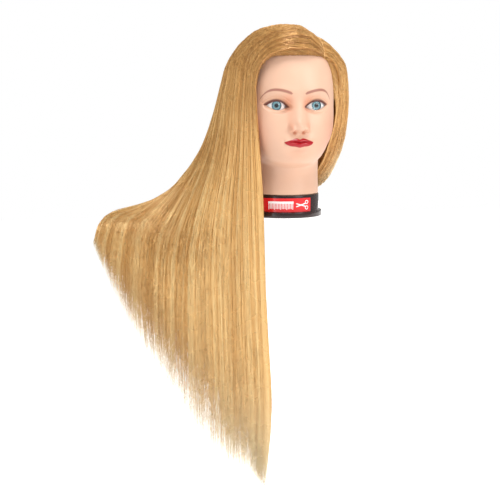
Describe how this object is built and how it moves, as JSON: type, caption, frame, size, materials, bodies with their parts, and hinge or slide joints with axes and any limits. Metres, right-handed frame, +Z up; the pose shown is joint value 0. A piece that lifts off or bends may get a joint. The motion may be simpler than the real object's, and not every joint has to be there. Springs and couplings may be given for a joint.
{
  "type": "mannequin training head",
  "caption": "Foam-filled vinyl training head on a round plastic base, with long straight blond hair combed over and laid to one side.",
  "frame": {"origin": "centre of the base's underside, at the mouth of the clamp socket", "axes": "+Z up through the neck and crown, -Y the way the face looks, +X the head's own left"},
  "size_m": [0.4118, 0.2127, 0.7307],
  "materials": {
    "vinyl_skin": "soft satin vinyl, painted brows, lips and lids",
    "foam": "rigid foam",
    "eye_white": "polished acrylic",
    "iris_print": "printed disc",
    "cornea": "clear acrylic",
    "base_dark": "glossy dark brown plastic",
    "base_inner": "moulded plastic",
    "screw_steel": "zinc plated",
    "label_film": "printed film",
    "hair": "straight silky blond fibre"
  },
  "bodies": {
    "root": {"head_skin": "vinyl_skin", "foam_core": "foam", "eye_white_right": "eye_white", "eye_white_left": "eye_white", "iris_right": "iris_print", "iris_left": "iris_print", "cornea_right": "cornea", "cornea_left": "cornea", "neck_ring": "base_dark", "base_plate": "base_inner", "clamp_socket": "base_inner", "base_screw_1": "screw_steel", "base_screw_2": "screw_steel", "base_screw_3": "screw_steel", "base_screw_4": "screw_steel", "label": "label_film", "hair_front_section": "hair", "hair_top_section": "hair", "hair_crown_section": "hair", "hair_back_section": "hair", "hair_left_section": "hair", "hair_under_right": "hair", "hair_nape_section": "hair"}
  },
  "joints": []
}
